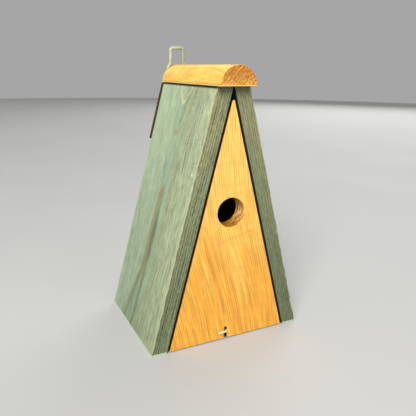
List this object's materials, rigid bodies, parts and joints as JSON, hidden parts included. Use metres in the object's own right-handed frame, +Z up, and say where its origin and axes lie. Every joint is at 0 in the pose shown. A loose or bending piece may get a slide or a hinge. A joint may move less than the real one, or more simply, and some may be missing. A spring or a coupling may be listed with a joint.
{
  "type": "birdhouse",
  "caption": "A-frame wooden birdhouse: tilted side boards, half-round ridge cap, round entrance in a swing-out front held by a turn hook, wire hanging loop",
  "frame": {"origin": "on the ground, below the middle of the whole object's box", "axes": "+Z up, -Y out of the entrance hole, +X to the right as seen from the front"},
  "size_m": [0.164, 0.1396, 0.283],
  "materials": {
    "green_stain": "rough-sawn softwood, translucent green stain",
    "natural_wood": "planed softwood, clear oil",
    "dark_wood": "dark brown stained hardwood",
    "zinc_steel": "bright zinc plate",
    "coated_wire": "pale cream-green coating, satin"
  },
  "bodies": {
    "house": {"left_side_board": "green_stain", "right_side_board": "green_stain", "back_panel": "green_stain", "floor_board": "natural_wood", "ridge_cap": "natural_wood", "pivot_nails": "zinc_steel", "hanger_block": "dark_wood", "hanger_wire": "coated_wire", "hanger_screws": "zinc_steel", "back_brads": "zinc_steel", "floor_brads": "zinc_steel", "cap_brads": "zinc_steel"},
    "door": {"front_door": "natural_wood"},
    "latch": {"latch_hook": "zinc_steel"}
  },
  "joints": [
    {"name": "door_swing", "type": "hinge", "parent": "house", "child": "door", "pos_m": [0, -0.05375, 0.168], "axis": [-1, 0, 0], "range_deg": [0, 50]},
    {"name": "latch_turn", "type": "hinge", "parent": "house", "child": "latch", "pos_m": [-0.003, -0.06075, 0.0098], "axis": [0, -1, 0], "range_deg": [0, 86]}
  ]
}
